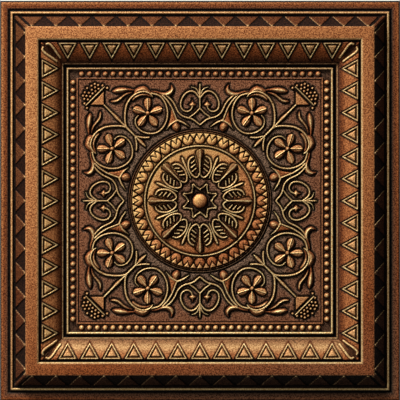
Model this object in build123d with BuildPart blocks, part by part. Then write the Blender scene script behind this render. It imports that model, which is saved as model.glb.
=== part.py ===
from build123d import *
from math import ceil, cos, floor, pi, sin
import os

# Moulded foam ceiling tile, 500 mm module, millimetres.
# The tile lies on its flat back: the origin is the middle of the back, the decorated face is up.
# Widths across the frame run from the tile's outer edge inwards; heights are above the back.

# Overall sizes
tile_side = 500.0
border_height = 5.0
crown_height = 20.0
ground_height = 6.0

# Outer border, groove, fillet and gutter
edge_round = 1.5
border_width = 11.5
groove_depth = 1.2
groove_width = 2.2
outer_fillet_width = 2.6
outer_fillet_rise = 1.2
gutter_width = 3.2
gutter_depth = 0.8

# Outward slope with its frieze of raised triangles
outer_slope_width = 13.0
tooth_relief = 1.3
tooth_pitch = 29.9
tooth_gap = 2.4

# Raised flat band, with a small bevel and a quirk on its inner side
band_width = 13.8
bevel_width = 2.4
bevel_drop = 0.8
quirk_width = 2.2
quirk_depth = 2.6

# Inward slope in two planes, the lower one steeper, with its frieze of double triangles
upper_slope_width = 21.5
upper_slope_drop = 7.2
lower_slope_width = 4.0
slope_start_drop = 2.2
slope_foot_height = 7.8
frieze_relief = 1.0
frieze_pitch = 27.5
frieze_setback = 1.4
frieze_base = 23.0
frieze_length = 19.6
frieze_rim = 2.1
heart_setback = 3.9
heart_base = 11.4
heart_length = 9.8

# Foot of the slope: step, groove and inner fillet
foot_step_width = 3.4
foot_step_height = 7.2
inner_groove_width = 3.0
inner_groove_height = 4.6
inner_fillet_width = 2.5
inner_fillet_height = 7.6

# String of beads in its channel
bead_channel_width = 11.4
bead_channel_height = 5.0
bead_radius = 3.4
bead_gap = 1.2
bead_pitch = 9.85
bead_rise = 2.4
bead_sides = 5
bead_taper = 35

# Heights of the panel's ornament above its ground
low_rise = 0.8
middle_rise = 1.6
high_rise = 2.4

# The panel's pattern is drawn for this half width, and grows or shrinks with the panel.
drawn_half_panel = 152.5

# Medallion, as drawn
rim_radius = 88.6
rim_width = 4.2
dart_tip_radius = 77.6
dart_count = 64
dart_overlap = 1.0
scallop_count = 32
scallop_orbit = 77.0
scallop_radius = 6.5
scallop_sides = 6
ring_radius = 68.6
ring_width = 2.0
club_count = 8
club_root = 32.6
club_neck = 55.2
club_shoulder = 60.9
club_tip = 64.6
club_half_width = 4.6
spear_root = 30.4
spear_waist = 49.0
spear_tip = 58.8
spear_half_width = 1.5
star_point = 22.6
star_valley = 14.6
star_line = 1.8
boss_radius = 8.5
boss_taper = 40

# Flower of five petals, as drawn
flower_centre = (65.1, 109.4)
petal_count = 5
petal_root = 4.2
petal_waist = 11.4
petal_tip = 18.6
petal_half_width = 4.8

# A stem's curve is cut into straight runs that each turn at most this many degrees, which keeps
# scrollwork that comes eight times over light.
run_turn = 40

# Distances from the tile's centre to each line of the frame
half_side = tile_side / 2
border_line = half_side - border_width
groove_line = border_line - groove_width
fillet_line = groove_line - outer_fillet_width
slope_foot_line = fillet_line - gutter_width
slope_top_line = slope_foot_line - outer_slope_width
band_line = slope_top_line - band_width
bevel_line = band_line - bevel_width
inner_slope_line = bevel_line - quirk_width
break_line = inner_slope_line - upper_slope_width
inner_foot_line = break_line - lower_slope_width
foot_step_line = inner_foot_line - foot_step_width
inner_groove_line = foot_step_line - inner_groove_width
inner_fillet_line = inner_groove_line - inner_fillet_width
panel_line = inner_fillet_line - bead_channel_width
bead_line = inner_fillet_line - bead_gap - bead_radius

slope_start_height = crown_height - slope_start_drop
break_height = slope_start_height - upper_slope_drop
quirk_height = crown_height - bevel_drop - quirk_depth
gutter_height = border_height - gutter_depth


def odd_count(run, pitch):
    """How many repeats fit in a run, an odd number, so that one stands on the middle line."""
    return 2 * floor((run / pitch - 1) / 2) + 1


# One side of the frame is a straight moulding, its section drawn standing on the back.
with BuildPart() as rail:
    with BuildSketch(Plane.XZ):
        Polygon(
            (half_side, 0),
            (half_side, border_height - edge_round),
            (half_side - edge_round, border_height),
            (border_line, border_height),
            (groove_line, border_height - groove_depth),
            (groove_line, border_height + outer_fillet_rise),
            (fillet_line, border_height + outer_fillet_rise),
            (fillet_line, gutter_height),
            (slope_foot_line, gutter_height),
            (slope_top_line, crown_height),
            (band_line, crown_height),
            (bevel_line, crown_height - bevel_drop),
            (bevel_line, quirk_height),
            (inner_slope_line, quirk_height),
            (inner_slope_line, slope_start_height),
            (break_line, break_height),
            (inner_foot_line, slope_foot_height),
            (inner_foot_line, foot_step_height),
            (foot_step_line, foot_step_height),
            (foot_step_line, inner_groove_height),
            (inner_groove_line, inner_groove_height),
            (inner_groove_line, inner_fillet_height),
            (inner_fillet_line, inner_fillet_height),
            (inner_fillet_line, bead_channel_height),
            (panel_line, bead_channel_height),
            (panel_line, 0),
            align=None,
        )
    extrude(amount=half_side, both=True)

# What stands on a slope is cut from a layer that follows the slope, so its relief is even.
with BuildPart() as tooth_layer:
    with BuildSketch(Plane.XZ):
        Polygon(
            (slope_top_line, 0),
            (slope_top_line, crown_height),
            (slope_top_line + tooth_relief, crown_height),
            (slope_foot_line + tooth_relief, gutter_height),
            (slope_foot_line + tooth_relief, 0),
            align=None,
        )
    extrude(amount=half_side, both=True)

with BuildPart() as frieze_layer:
    with BuildSketch(Plane.XZ):
        Polygon(
            (inner_slope_line, 0),
            (inner_slope_line, slope_start_height + frieze_relief),
            (break_line, break_height + frieze_relief),
            (inner_foot_line, slope_foot_height + frieze_relief),
            (inner_foot_line, 0),
            align=None,
        )
    extrude(amount=half_side, both=True)

# Raised triangles on the outward slope, their points up against the band
tooth_half = (tooth_pitch - tooth_gap) / 2
tooth_count = odd_count(2 * slope_foot_line, tooth_pitch)
with BuildPart() as teeth:
    with BuildSketch(Plane.XY):
        for i in range(tooth_count):
            y = (i - (tooth_count - 1) / 2) * tooth_pitch
            Polygon(
                (slope_foot_line + tooth_relief / 2, y - tooth_half),
                (slope_foot_line + tooth_relief / 2, y + tooth_half),
                (slope_top_line, y),
                align=None,
            )
    extrude(amount=crown_height)
    add(tooth_layer.part, mode=Mode.INTERSECT)

# Double triangles on the inward slope, a rim with a smaller solid triangle inside it
frieze_line = inner_slope_line - frieze_setback
heart_line = frieze_line - heart_setback
frieze_count = odd_count(2 * inner_foot_line + frieze_base / 2, frieze_pitch)
with BuildPart() as frieze:
    with BuildSketch(Plane.XY):
        with BuildSketch(mode=Mode.PRIVATE) as triangle:
            Polygon(
                (frieze_line, -frieze_base / 2),
                (frieze_line, frieze_base / 2),
                (frieze_line - frieze_length, 0),
                align=None,
            )
        with BuildSketch(mode=Mode.PRIVATE) as double_triangle:
            add(triangle.sketch)
            offset(triangle.sketch, amount=-frieze_rim, kind=Kind.INTERSECTION, mode=Mode.SUBTRACT)
            Polygon(
                (heart_line, -heart_base / 2),
                (heart_line, heart_base / 2),
                (heart_line - heart_length, 0),
                align=None,
            )
        with GridLocations(frieze_pitch, frieze_pitch, 1, frieze_count):
            add(double_triangle.sketch)
    extrude(amount=crown_height)
    add(frieze_layer.part, mode=Mode.INTERSECT)

# The side with its friezes and beads, sawn at the mitres
bead_count = odd_count(2 * (bead_line - bead_pitch / 2), bead_pitch)
mitre_left = Plane(origin=(0, 0, 0), x_dir=(1, 1, 0), z_dir=(1, -1, 0))
mitre_right = Plane(origin=(0, 0, 0), x_dir=(1, -1, 0), z_dir=(1, 1, 0))
with BuildPart() as side:
    add(rail.part)
    add(teeth.part)
    add(frieze.part)
    split(bisect_by=mitre_left, keep=Keep.TOP)
    split(bisect_by=mitre_right, keep=Keep.TOP)
    with BuildSketch(Plane.XY.offset(bead_channel_height)):
        with Locations((bead_line, 0)):
            with GridLocations(bead_pitch, bead_pitch, 1, bead_count):
                RegularPolygon(bead_radius, bead_sides)
    extrude(amount=bead_rise, taper=bead_taper)

# Each level of the panel's ornament is one drawing, raised as one layer.
ground = Plane.XY.offset(ground_height)
pattern_scale = panel_line / drawn_half_panel
rim_inside = rim_radius - rim_width
dart_half = pi * rim_inside / dart_count

# High ornament of the medallion: ring of darts, gold ring and clubs
with BuildPart() as medallion_high:
    with BuildSketch(ground):
        with PolarLocations(0, dart_count):
            Polygon(
                (rim_inside + dart_overlap, -dart_half),
                (rim_inside + dart_overlap, dart_half),
                (dart_tip_radius, 0),
                align=None,
            )
        Circle(ring_radius + ring_width / 2)
        Circle(ring_radius - ring_width / 2, mode=Mode.SUBTRACT)
        with PolarLocations(0, club_count):
            Polygon(
                (club_root, 0),
                (club_neck, club_half_width),
                (club_shoulder, club_half_width),
                (club_tip, 0),
                (club_shoulder, -club_half_width),
                (club_neck, -club_half_width),
                align=None,
            )
        scale(by=pattern_scale)
    extrude(amount=high_rise)

# Middle level of the medallion: scallops, spear leaves between the clubs, outlined star
star_points = []
for i in range(club_count):
    turn = 2 * pi * i / club_count
    half_turn = turn + pi / club_count
    star_points.append((star_valley * cos(turn), star_valley * sin(turn)))
    star_points.append((star_point * cos(half_turn), star_point * sin(half_turn)))

with BuildPart() as medallion_middle:
    with BuildSketch(ground):
        with PolarLocations(scallop_orbit, scallop_count):
            RegularPolygon(scallop_radius, scallop_sides)
        with PolarLocations(0, club_count, start_angle=180 / club_count):
            Polygon(
                (spear_root, 0),
                (spear_waist, spear_half_width),
                (spear_tip, 0),
                (spear_waist, -spear_half_width),
                align=None,
            )
        with BuildSketch(mode=Mode.PRIVATE) as star:
            Polygon(*star_points, align=None)
        add(star.sketch)
        offset(star.sketch, amount=-star_line, kind=Kind.INTERSECTION, mode=Mode.SUBTRACT)
        scale(by=pattern_scale)
    extrude(amount=middle_rise)

# Low rim round the medallion
with BuildPart() as medallion_rim:
    with BuildSketch(ground):
        Circle(rim_radius)
        Circle(rim_inside, mode=Mode.SUBTRACT)
        scale(by=pattern_scale)
    extrude(amount=low_rise)

# Boss in the middle
with BuildPart() as boss:
    with BuildSketch(ground):
        Circle(boss_radius)
        scale(by=pattern_scale)
    extrude(amount=high_rise, taper=boss_taper)

# Scrollwork of one eighth of the panel, between the middle line and the diagonal, as drawn.
# A stem has a width, the direction in which it starts, and the points that its arcs run through.
stems = (
    # vine from the diagonal up under the wrapping leaf
    (3.0, (0.35, 1.0), ((91.0, 91.0), (93.4, 108.8), (86.5, 128.1), (68.0, 136.2))),
    # the vine's loop round the flower, ending against its lower petal
    (2.6, (-1.0, -0.2), ((60.5, 134.3), (43.4, 122.5), (42.2, 98.8), (58.4, 84.2), (77.6, 91.3),
     (76.8, 106.6))),
    # strand down to the trumpet
    (2.4, (-0.9, -1.0), ((46.0, 131.0), (28.4, 98.6))),
    # strand along to the middle line
    (2.4, (-0.9, -0.8), ((41.0, 131.0), (29.2, 115.1), (14.0, 103.5), (-0.8, 94.2))),
    # lips of the trumpet
    (1.8, (1.0, -0.35), ((28.6, 100.2), (41.6, 89.4))),
    (1.8, (-1.0, -0.2), ((28.6, 100.4), (13.8, 93.0))),
    # volute of the palmette
    (2.4, (0.4, 1.0), ((0.0, 126.6), (11.6, 137.0), (24.0, 120.7), (15.2, 111.8), (9.2, 118.5))),
    # fork under the palmette
    (2.2, (1.0, -1.4), ((-0.8, 116.6), (13.2, 103.8))),
    # side prong of the fork on the diagonal
    (2.2, (-1.0, -0.3), ((79.6, 80.4), (63.6, 79.3))),
)
leaves = (
    # big leaf
    ((109.7, 137.1), (96.0, 142.2), (81.0, 138.2), (96.0, 135.0)),
    # leaf with a double curve
    ((111.9, 124.3), (104.4, 126.8), (97.2, 131.4), (84.6, 136.0), (97.2, 128.2), (104.4, 122.6)),
    # leaf that wraps over the vine
    ((83.6, 126.0), (79.2, 141.0), (70.3, 143.5), (62.0, 137.8), (58.8, 130.4), (72.5, 131.4)),
    # hooked leaf
    ((61.0, 136.8), (50.1, 136.2), (41.5, 135.8), (36.1, 145.4), (33.0, 136.8), (38.5, 130.8), (50.1, 132.6)),
    # bud of the trumpet
    ((29.0, 99.6), (34.8, 92.6), (28.2, 86.8), (25.0, 92.0)),
    # knob of the volute
    ((13.8, 119.8), (9.2, 125.4), (4.6, 119.8), (9.2, 116.4)),
)
# Stem and tip of the palmette, half of it, standing on the middle line
palmette = ((0.0, 115.6), (1.2, 116.6), (1.9, 133.6), (0.0, 145.9))

# Thistle on the diagonal: distances along the diagonal from the centre, and half widths
thistle_stem = ((95.9, 0.0), (103.0, 2.2), (112.0, 1.3), (137.0, 1.3), (146.0, 2.3), (170.0, 1.2))
cup_point = 169.3
cup_base = 181.2
cup_half_width = 11.5
cup_rim_foot = 184.0
cup_rim_width = 2.6
cup_rim_half = 15.8


def stem_outline(width, heading, points):
    """Outline of a bar of even width along tangent arcs, each cut into straight runs."""
    left = []
    right = []
    heading = Vector(*heading)
    for start, end in zip(points, points[1:]):
        arc = Edge.make_tangent_arc(start, heading, end)
        runs = ceil(heading.get_angle(arc % 1) / run_turn)
        for i in range(runs + (end == points[-1])):
            across = (arc % (i / runs)).rotate(Axis.Z, 90) * (width / 2)
            left.append(arc @ (i / runs) + across)
            right.append(arc @ (i / runs) - across)
        heading = arc % 1
    return left + right[::-1]


with BuildPart() as scrollwork:
    with BuildSketch(ground):
        with BuildSketch(mode=Mode.PRIVATE) as eighth:
            for stem in stems:
                Polygon(*stem_outline(*stem), align=None)
            for leaf in leaves:
                Polygon(*leaf, align=None)
            Polygon(*palmette, align=None)
            with Locations(flower_centre):
                with PolarLocations(0, petal_count, start_angle=90):
                    Polygon(
                        (petal_root, 0),
                        (petal_waist, petal_half_width),
                        (petal_tip, 0),
                        (petal_waist, -petal_half_width),
                        align=None,
                    )
        with BuildSketch(mode=Mode.PRIVATE) as thistle:
            stem_sides = [(along, -half) for along, half in thistle_stem]
            Polygon(*thistle_stem, *reversed(stem_sides[1:]), align=None)
            Polygon(
                (cup_point, 0), (cup_base, cup_half_width), (cup_base, -cup_half_width), align=None
            )
            with Locations((cup_rim_foot + cup_rim_width / 2, 0)):
                Rectangle(cup_rim_width, 2 * cup_rim_half)
        with PolarLocations(0, 4):
            add(eighth.sketch)
            add(mirror(eighth.sketch, about=Plane.YZ, mode=Mode.PRIVATE))
        with PolarLocations(0, 4, start_angle=45):
            add(thistle.sketch)
        scale(by=pattern_scale)
    extrude(amount=high_rise)

with BuildPart() as ceiling_tile:
    with PolarLocations(0, 4):
        add(side.part)
    with BuildSketch(Plane.XY):
        Rectangle(2 * panel_line, 2 * panel_line)
    extrude(amount=ground_height)
    add(medallion_rim.part)
    add(medallion_middle.part)
    add(medallion_high.part)
    add(boss.part)
    add(scrollwork.part)

ceiling_tile.part.label = "ceiling_tile"
os.makedirs("parts", exist_ok=True)
export_step(ceiling_tile.part, "parts/ceiling_tile.step")
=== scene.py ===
# %% [markdown]
# # A moulded foam ceiling tile in antique copper
# The tile is one pressing of polystyrene foam, 500 mm square, painted black and rubbed with copper and gold
# so that the high places shine and the hollows stay dark. It lies on its flat back with the face up.
# The CAD frame is loaded first, because it says where the tile is and how large it may be.

from collections import namedtuple

import bpy
import numpy as np
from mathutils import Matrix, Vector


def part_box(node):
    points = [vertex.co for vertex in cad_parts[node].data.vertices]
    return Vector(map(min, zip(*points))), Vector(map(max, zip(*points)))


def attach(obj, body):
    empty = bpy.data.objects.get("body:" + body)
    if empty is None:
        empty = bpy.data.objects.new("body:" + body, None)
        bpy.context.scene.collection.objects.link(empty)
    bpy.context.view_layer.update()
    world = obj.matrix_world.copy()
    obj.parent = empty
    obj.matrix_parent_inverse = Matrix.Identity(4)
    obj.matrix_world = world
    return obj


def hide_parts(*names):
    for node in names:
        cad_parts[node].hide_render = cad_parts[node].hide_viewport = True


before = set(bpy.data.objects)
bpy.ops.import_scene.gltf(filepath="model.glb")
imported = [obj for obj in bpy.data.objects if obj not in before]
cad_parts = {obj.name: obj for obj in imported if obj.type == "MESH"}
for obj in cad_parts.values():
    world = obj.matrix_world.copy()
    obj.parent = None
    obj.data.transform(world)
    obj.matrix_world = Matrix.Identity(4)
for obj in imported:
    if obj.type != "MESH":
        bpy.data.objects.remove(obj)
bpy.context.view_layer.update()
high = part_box("ceiling_tile")[1]
HALF = 1000 * high.x
CROWN = 1000 * high.z
print("tile, mm:", round(2 * HALF, 2), "wide,", round(CROWN, 2), "thick")

# %% [markdown]
# ## One eighth is enough
# The pattern is the same about both middle lines and both diagonals. Any point can be folded into the
# wedge between the middle line and the diagonal, so each ornament is drawn once. `across` is the distance
# from the middle line, `out` the distance towards the side; all lengths of the drawing are in millimetres.


# %% Fold a point into the wedge
def fold(x, y):
    x, y = np.abs(x), np.abs(y)
    return np.minimum(x, y), np.maximum(x, y)


def ease(value, start, end):
    """0 before start, 1 after end, and a soft step between them."""
    t = np.clip((value - start) / (end - start), 0, 1)
    return t * t * (3 - 2 * t)


def nearest_repeat(value, pitch):
    """How far value is from the nearest whole number of pitches, and that number."""
    number = np.round(value / pitch)
    return value - number * pitch, number


# %% [markdown]
# ## The relief sheet
# The face has no undercut, so it can be made as a height above each point of the plan, and then the paint
# can be worked out from the same distances: `gilt` where gold was rubbed on a crest, `copper` where a flat
# was rubbed, and `soot` where the black undercoat is left. Ornaments are laid one over another, the higher
# one showing, and each is kept apart from the ground by a small moat with black in it.


# %% Relief sheet
PANEL_HEIGHT = 6.0
FAR_AWAY = 99.0
# how far round an ornament it is worked out
REACH = 4
# half width of the gold on a bar, least and as a share, and the gold beside it
CREST = 0.7
CREST_SHARE = 0.2
SHOULDER = 0.12
# bars thinner than this are lower
THIN = 0.9


class Sheet:
    def __init__(self, across, out):
        self.across = across
        self.out = out
        self.ground = np.full(across.shape, PANEL_HEIGHT)
        self.gap = np.full(across.shape, FAR_AWAY)
        self.rise, self.gilt, self.copper, self.soot, self.shade = np.zeros((5,) + across.shape)

    def lay(self, where, rise, gap, gilt, copper, shade=0.0):
        """An ornament over the points `where`; gap is the distance outside its outline."""
        self.gap[where] = np.minimum(self.gap[where], gap)
        over = (gap < 0) & (rise > self.rise[where])
        spots = np.flatnonzero(where)[over]
        self.rise[spots] = rise[over]
        for layer, value in ((self.gilt, gilt), (self.copper, copper), (self.shade, shade)):
            layer[spots] = np.broadcast_to(value, rise.shape)[over]

    def bar(self, where, away, width, height, gilt=1.0, copper=0.8, shoulder=SHOULDER, shade=0.0):
        """A round bar, `width` wide to each side of its middle line."""
        full = np.clip(1 - (away / width) ** 2, 0, 1)
        rise = height * np.sqrt(full) * np.minimum(1, width / THIN)
        crest = np.maximum(CREST, CREST_SHARE * width)
        gold = gilt * np.maximum(np.exp(-((away / crest) ** 2)), shoulder * full)
        self.lay(where, rise, away - width, gold, copper, shade * (1 - gold))

    def rib(self, line, half_width, height=2.1):
        """A bar along a line; half_width is one number or one for each point of the line."""
        where = self.near(line, REACH + np.max(half_width))
        away, width = along_line(self.across[where], self.out[where], line, half_width)
        self.bar(where, away, width, height, copper=0.7)

    def knob(self, centre, radius, height):
        """A round stud."""
        where = self.near([centre], REACH + radius)
        away = np.hypot(self.across[where] - centre[0], self.out[where] - centre[1])
        self.bar(where, away, np.full(away.shape, radius), height)

    def leaf(self, outline, gilt, copper, height=2.8, slope=3.6):
        """A closed outline that swells to a ridge along its middle."""
        where = self.near(outline, REACH)
        inside = within(self.across[where], self.out[where], outline)
        full = np.clip(inside / min(slope, 1.4 * half_width(outline)), 0, 1)
        gold = gilt * ease(full, 0.4, 0.95)
        self.lay(where, height * full**0.75, -inside, gold, copper * (0.45 + 0.55 * full), 0.4 * (1 - full))

    def near(self, points, reach):
        """The points of the sheet in a box round the ornament."""
        points = np.array(points)
        low, high = points.min(0) - reach, points.max(0) + reach
        return (
            (self.across > low[0]) & (self.across < high[0]) & (self.out > low[1]) & (self.out < high[1])
        )


# %% [markdown]
# ## Flowing lines
# Stems and leaf edges run through a few marked points. A Catmull-Rom line passes through every one of them
# and turns smoothly, so it draws a vine from few points. The distance to the line then gives the bar or the
# leaf its section.


# %% Lines and distances
def flow(points, closed=False, steps=7):
    """A smooth line through the points, given as straight runs short enough to look round."""
    points = np.array(points, float)
    if closed:
        ring = np.vstack([points[-1:], points, points[:2]])
    else:
        ring = np.vstack([2 * points[0] - points[1], points, 2 * points[-1] - points[-2]])
    t = np.linspace(0, 1, steps, endpoint=False)[:, None]
    runs = []
    for a, b, c, d in zip(ring, ring[1:], ring[2:], ring[3:]):
        runs.append(
            0.5 * (2 * b + (c - a) * t + (2 * a - 5 * b + 4 * c - d) * t**2 + (3 * b - a - 3 * c + d) * t**3)
        )
    if not closed:
        runs.append(points[-1:])
    return np.vstack(runs)


def along_line(x, y, line, half_width):
    """Distance to the line, and the bar's half width at the nearest place on it."""
    line = np.array(line, float)
    halves = np.interp(
        np.linspace(0, 1, len(line)), np.linspace(0, 1, np.size(half_width)), np.ravel(half_width)
    )
    best = np.full(x.shape, 1e9)
    width = np.full(x.shape, halves[0])
    for (ax, ay), (bx, by), wa, wb in zip(line, line[1:], halves, halves[1:]):
        run = np.array([bx - ax, by - ay])
        t = np.clip(((x - ax) * run[0] + (y - ay) * run[1]) / (run @ run), 0, 1)
        away = np.hypot(x - ax - t * run[0], y - ay - t * run[1])
        closer = away < best
        best[closer] = away[closer]
        width[closer] = (wa + t * (wb - wa))[closer]
    return best, width


def half_width(outline):
    """About half the width of a slender outline: its area over the way round it."""
    x, y = np.array(outline).T
    area = abs(x @ np.roll(y, -1) - y @ np.roll(x, -1)) / 2
    return area / np.hypot(x - np.roll(x, -1), y - np.roll(y, -1)).sum()


def within(x, y, outline):
    """Distance inside a closed outline, less than nothing outside it."""
    ring = np.vstack([outline, outline[:1]])
    away = along_line(x, y, ring, 1.0)[0]
    inside = np.zeros(x.shape, bool)
    for (ax, ay), (bx, by) in zip(ring, ring[1:]):
        crosses = (ay > y) != (by > y)
        if ay != by:
            inside ^= crosses & (x < ax + (y - ay) * (bx - ax) / (by - ay))
    return np.where(inside, away, -away)


# %% [markdown]
# ## The frame's section
# Each side of the frame is one moulding. Its section is drawn as a line of places: the distance from the
# tile's centre, the height above the back, and how the paint lies there. Between two places everything
# changes evenly. From inside to outside it has the ledge round the panel, the bead channel, a gold fillet,
# a groove, a thin line, the swelling inward slope, a quirk, the raised band, the outward slope, a gutter,
# a second gold fillet, a groove and the flat border.

# %% Section of the frame
SECTION = (
    # distance, height, gilt, copper, soot
    (150.4, 6.0, 0.0, 0.35, 0.2),
    (151.0, 5.3, 0.0, 0.1, 1.0),
    (151.6, 5.6, 0.0, 0.2, 0.8),
    (152.3, 6.5, 0.05, 0.4, 0.1),
    (153.1, 6.7, 0.12, 0.5, 0.0),
    (153.8, 6.4, 0.0, 0.35, 0.3),
    (154.4, 5.2, 0.0, 0.2, 0.7),
    (155.2, 5.0, 0.0, 0.15, 0.6),
    (162.6, 5.0, 0.0, 0.15, 0.6),
    (163.4, 5.0, 0.0, 0.0, 1.0),
    (163.9, 6.6, 0.5, 0.5, 0.2),
    (164.5, 7.4, 1.0, 0.6, 0.0),
    (165.3, 7.6, 1.0, 0.6, 0.0),
    (166.0, 7.2, 0.7, 0.6, 0.0),
    (166.5, 6.0, 0.0, 0.2, 0.9),
    (166.9, 4.4, 0.0, 0.0, 1.0),
    (169.4, 4.4, 0.0, 0.0, 1.0),
    (170.0, 5.6, 0.0, 0.0, 1.0),
    (170.7, 6.9, 0.05, 0.4, 0.4),
    (171.4, 7.2, 0.7, 0.6, 0.0),
    (172.0, 7.0, 0.05, 0.4, 0.75),
    (172.8, 7.2, 0.0, 0.4, 0.8),
    (175.4, 9.1, 0.0, 0.55, 0.62),
    (178.4, 11.0, 0.0, 0.65, 0.4),
    (182.0, 12.8, 0.0, 0.8, 0.12),
    (186.0, 14.5, 0.0, 0.8, 0.05),
    (190.0, 15.9, 0.0, 0.85, 0.0),
    (194.0, 17.0, 0.0, 0.85, 0.0),
    (197.8, 17.8, 0.0, 0.6, 0.1),
    (198.4, 15.8, 0.0, 0.0, 1.0),
    (200.4, 15.6, 0.0, 0.0, 1.0),
    (201.0, 18.6, 0.4, 0.6, 0.3),
    (201.6, 19.4, 0.65, 0.9, 0.0),
    (202.6, 19.9, 0.2, 1.05, 0.0),
    (203.9, 20.0, 0.0, 1.05, 0.0),
    (216.0, 20.0, 0.0, 1.05, 0.0),
    (217.1, 19.8, 0.1, 1.1, 0.0),
    (217.7, 19.1, 0.0, 0.2, 0.9),
    (218.6, 18.1, 0.0, 0.5, 0.96),
    (230.4, 4.5, 0.0, 0.5, 0.96),
    (231.0, 4.2, 0.0, 0.0, 0.9),
    (232.9, 4.2, 0.0, 0.0, 1.0),
    (233.5, 5.0, 0.0, 0.3, 0.8),
    (234.2, 6.0, 0.7, 1.15, 0.0),
    (235.1, 6.2, 1.0, 1.15, 0.0),
    (236.0, 5.9, 0.7, 1.15, 0.0),
    (236.7, 5.0, 0.0, 0.2, 0.9),
    (237.2, 3.9, 0.0, 0.0, 1.0),
    (239.2, 3.8, 0.0, 0.0, 1.0),
    (239.9, 4.7, 0.0, 0.1, 0.75),
    (241.5, 4.95, 0.0, 0.45, 0.3),
    (244.5, 5.0, 0.0, 0.6, 0.2),
    (247.2, 5.0, 0.0, 0.95, 0.0),
    (247.9, 4.9, 0.0, 0.9, 0.2),
    (248.5, 4.6, 0.0, 0.3, 0.95),
    (250.0, 3.4, 0.0, 0.1, 1.0),
)
DISTANCE, HEIGHT, GILT, COPPER, SOOT = np.array(SECTION).T
print("section:", len(SECTION), "places, highest", HEIGHT.max(), "mm")

# %% [markdown]
# ## The two friezes and the beads
# Plain raised triangles stand on the outward slope with their points up against the band, fifteen to a
# side, and a raised strip runs down each mitre. On the inward slope thirteen double triangles have a round
# rim, a black groove and a gold heart. A pair of curved ribs makes a leaf over each mitre, and thirty-one
# beads lie in the channel. Each is drawn once, set out along the side and folded all round.

# %% Raised triangles
TOOTH_PITCH = 29.9
TOOTH_HALF = 13.75
TOOTH_TIP = 217.4
TOOTH_BASE = 230.4
TOOTH_RISE = 1.7
MITRE_STRIP = 2.6


def triangle(along, out, base, half, tip):
    """Distance inside a triangle with its base at one distance out and its tip at another."""
    length = base - tip
    slant = (half * (out - tip) - length * np.abs(along)) / np.hypot(half, length)
    return np.minimum(base - out, slant)


def stripe(value, middle, end, full):
    """1 within `full` of the middle, falling to 0 at the `end`."""
    return ease(-np.abs(value - middle), -end, -full)


def teeth(sheet):
    along = nearest_repeat(sheet.across, TOOTH_PITCH)[0]
    tooth = triangle(along, sheet.out, TOOTH_BASE, TOOTH_HALF, TOOTH_TIP)
    inside = np.maximum(tooth, MITRE_STRIP - (sheet.out - sheet.across) / np.sqrt(2))
    on_slope = (sheet.out > TOOTH_TIP) & (sheet.out < TOOTH_BASE + 1)
    raised = ease(inside, -0.3, 0.6) * on_slope
    sheet.ground += TOOTH_RISE * raised
    sheet.copper += 0.2 * raised
    sheet.soot *= 1 - 0.24 * raised
    sheet.soot = np.maximum(sheet.soot, on_slope * stripe(inside, -0.8, 1.7, 0.8))
    lip = on_slope * stripe(inside, 0.3, 0.8, 0.1)
    tip = ease(-sheet.out, -TOOTH_TIP - 2.4, -TOOTH_TIP - 0.6) * ease(tooth, -0.3, 0.6) * on_slope
    sheet.gilt = np.maximum(sheet.gilt, np.maximum(0.4 * lip, 0.8 * tip))
    sheet.soot *= 1 - 0.7 * tip


print("raised triangles, mm:", TOOTH_PITCH, "apart")

# %% Double triangles
FRIEZE_PITCH = 27.5
FRIEZE_LAST = 6
FRIEZE = (172.8, 198.2)
# base, half width and tip
DOUBLE_RIM = (197.2, 11.6, 176.4)
HEART = (193.9, 5.9, 183.4)


def quarter_round(inside, width):
    """0 at an outline and 1 so far inside it, rounded over between them."""
    full = np.clip(inside / width, 0, 1)
    return np.sqrt(full * (2 - full))


def double_triangles(sheet):
    along, number = nearest_repeat(sheet.across, FRIEZE_PITCH)
    here = (number <= FRIEZE_LAST) & (sheet.out > FRIEZE[0]) & (sheet.out < FRIEZE[1])
    rim = triangle(along, sheet.out, *DOUBLE_RIM)
    heart = triangle(along, sheet.out, *HEART)
    bar = np.sqrt(np.clip(1 - ((rim - 0.9) / 1.05) ** 2, 0, 1))
    bed = ease(rim, 1.1, 2.0)
    swell = quarter_round(heart, 1.6)
    sheet.ground += here * (1.1 * bar - 0.9 * bed + 2.1 * swell - 0.5 * stripe(rim, -0.5, 0.9, 0))
    dark = here * np.maximum(bed * (1 - ease(heart, -0.2, 0.5)), stripe(rim, -0.8, 1.6, 0.7))
    sheet.soot = np.maximum(sheet.soot * (1 - here * bar), dark)
    edge = ease(heart, 0.1, 0.7) * ease(-heart, -1.9, -0.9)
    heart_gilt = np.maximum(0.35 * edge, 0.26 * ease(heart, 0.3, 1.2))
    sheet.gilt = np.maximum(sheet.gilt, here * np.maximum(0.95 * ease(bar, 0.65, 1), heart_gilt))
    sheet.copper = np.maximum(sheet.copper, here * np.maximum(0.8 * bar, 1.15 * ease(heart, 0, 0.6)))


print("double triangles:", 2 * FRIEZE_LAST + 1, "to a side,", FRIEZE_PITCH, "mm apart")

# %% Mitre leaves and beads
MITRE_RIB = flow(
    [(191.4, 195.4), (188.6, 196.2), (185.6, 194.2), (182.0, 189.6), (178.4, 184.2), (174.2, 178.8)]
)
MITRE_RIB_HALF = 1.4
MITRE_LEAF_END = 198.4
CHANNEL_HEIGHT = 5.0
BEAD_PITCH = 9.85
BEAD_LAST = 15
BEAD_LINE = 158.5
BEAD_RADIUS = 3.45
BEAD_RISE = 2.9


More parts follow.
